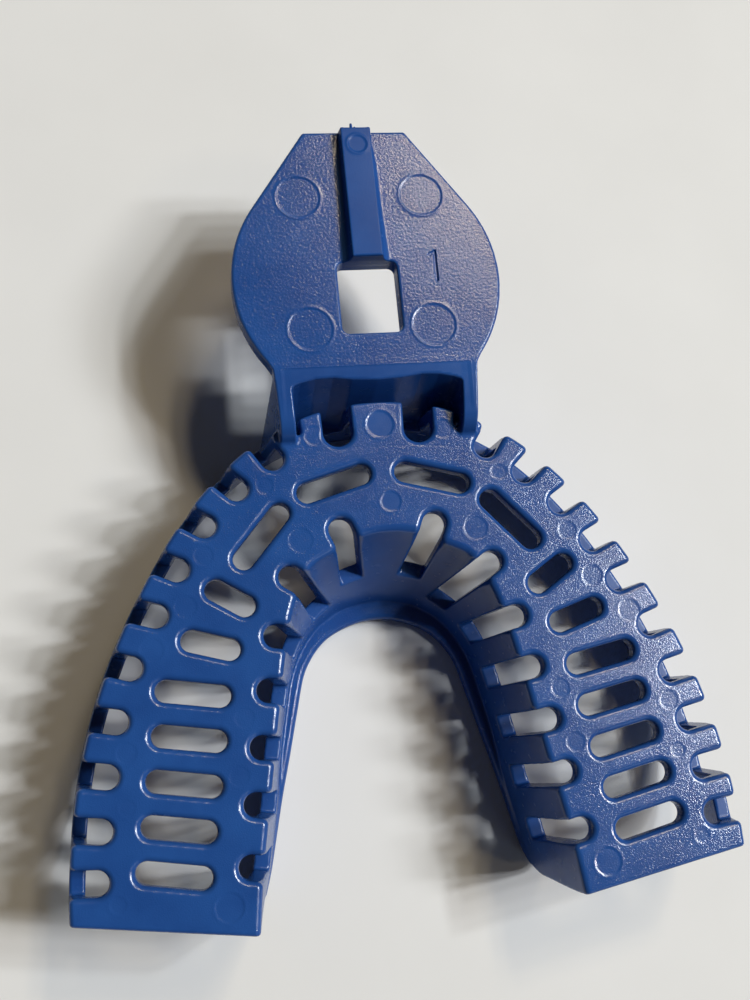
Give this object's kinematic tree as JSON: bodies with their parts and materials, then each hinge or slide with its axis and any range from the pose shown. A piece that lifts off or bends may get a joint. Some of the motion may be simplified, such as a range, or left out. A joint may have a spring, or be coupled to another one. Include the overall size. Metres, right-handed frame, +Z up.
{
  "type": "dental impression tray",
  "caption": "U-shaped perforated plastic tray with a slotted trough for impression material and a ribbed grip on a raised neck.",
  "frame": {"origin": "on the resting plane, in the middle of the part's footprint: the bottom centre of its bounding box", "axes": "+X to the right leg, +Y from the legs' open ends towards the grip, +Z up away from the resting plane; the trough opens downwards"},
  "size_m": [0.0786, 0.0932, 0.0229],
  "materials": {
    "grained_plastic": "medium blue polystyrene with a fine eroded grain, satin",
    "smooth_plastic": "medium blue polystyrene, smooth, semi-gloss"
  },
  "bodies": {
    "root": {"arch_plate": "grained_plastic", "cheek_wall": "smooth_plastic", "tongue_wall": "smooth_plastic", "tongue_rim": "grained_plastic", "grip_plate": "grained_plastic", "grip_rib": "smooth_plastic", "neck_web": "smooth_plastic", "neck_side_right": "smooth_plastic", "neck_side_left": "smooth_plastic"}
  },
  "joints": []
}
